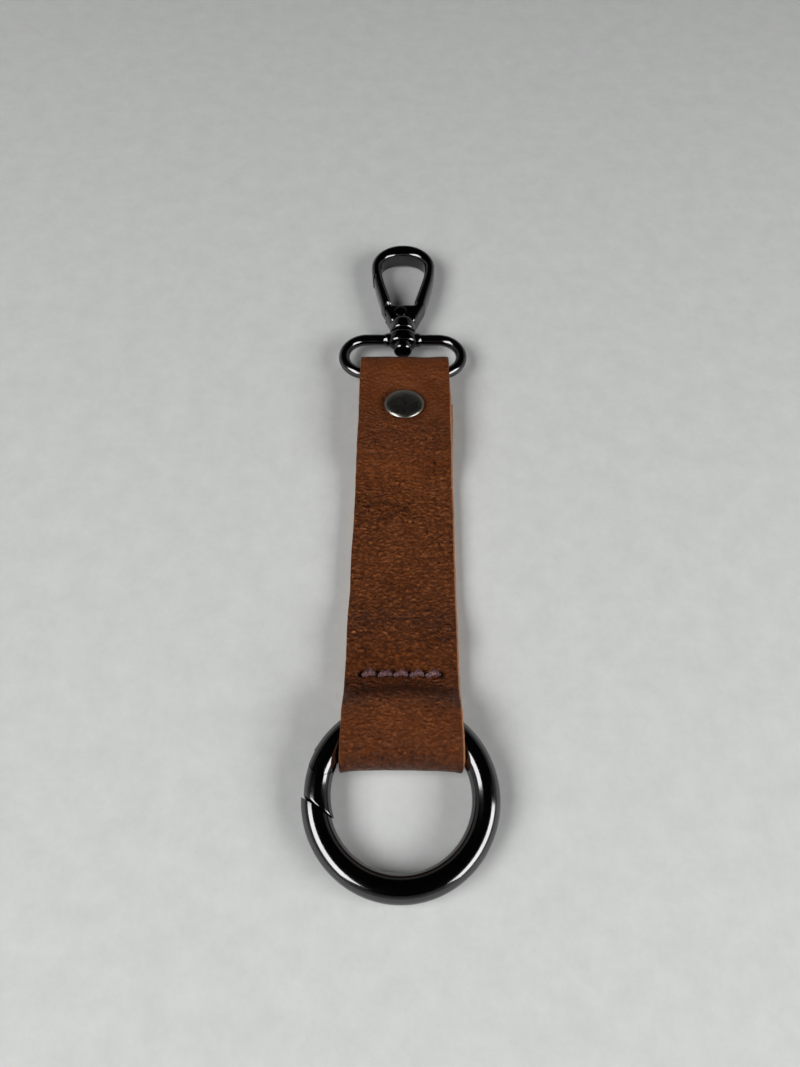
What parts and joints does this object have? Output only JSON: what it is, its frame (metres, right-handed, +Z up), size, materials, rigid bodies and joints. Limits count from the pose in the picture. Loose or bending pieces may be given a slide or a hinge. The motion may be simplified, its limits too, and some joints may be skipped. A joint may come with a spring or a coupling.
{
  "type": "leather snap keychain",
  "caption": "Folded leather strap key fob with a spring gate ring at one end and a swivel snap hook riveted into the other.",
  "frame": {"origin": "on the table under the middle of the keychain's box, lying as in the picture", "axes": "+Y along the strap from the ring to the hook's tip, +Z up from the table, +X to the right with the hook pointing away"},
  "size_m": [0.035, 0.1568, 0.0089],
  "materials": {
    "leather": "brown pebbled grain, cut edges tan",
    "thread": "waxed twisted thread",
    "gunmetal": "polished dark nickel plate",
    "rivet_metal": "satin dark nickel plate",
    "spring_steel": "bright drawn wire"
  },
  "bodies": {
    "strap": {"leather_strap": "leather", "stitch_thread_upper": "thread", "stitch_thread_lower": "thread", "rivet_cap": "rivet_metal", "rivet_post": "rivet_metal"},
    "ring": {"ring_body": "gunmetal", "ring_hinge_pin": "gunmetal", "ring_gate_spring": "spring_steel"},
    "ring_gate": {"ring_gate": "gunmetal"},
    "loop": {"hook_loop": "gunmetal"},
    "hook": {"hook_body": "gunmetal", "swivel_pin": "gunmetal", "hook_gate_pin": "gunmetal", "hook_gate_spring": "spring_steel"},
    "hook_gate": {"hook_gate": "gunmetal"}
  },
  "joints": [
    {"name": "ring_turn", "type": "hinge", "parent": "strap", "child": "ring", "pos_m": [0, -0.06099, 0.00355], "axis": [0, -0.0698, 0.9976], "continuous": true},
    {"name": "ring_gate_open", "type": "hinge", "parent": "ring", "child": "ring_gate", "pos_m": [-0.0137, -0.0549, 0.00397], "axis": [0, -0.0698, 0.9976], "range_deg": [0, 26], "stiffness_Nm_per_rad": 0.02, "springref_deg": -11.46},
    {"name": "loop_swing", "type": "hinge", "parent": "strap", "child": "loop", "pos_m": [0, 0.03591, 0.0036], "axis": [1, 0, 0], "range_deg": [-120, 120]},
    {"name": "hook_swivel", "type": "hinge", "parent": "loop", "child": "hook", "pos_m": [0, 0.04671, 0.0033], "axis": [0, 0.9996, -0.0279], "continuous": true},
    {"name": "hook_gate_open", "type": "hinge", "parent": "hook", "child": "hook_gate", "pos_m": [-0.0006, 0.0539, 0.0031], "axis": [0, 0.0279, 0.9996], "range_deg": [-22, 0], "stiffness_Nm_per_rad": 0.02, "springref_deg": 11.46}
  ]
}
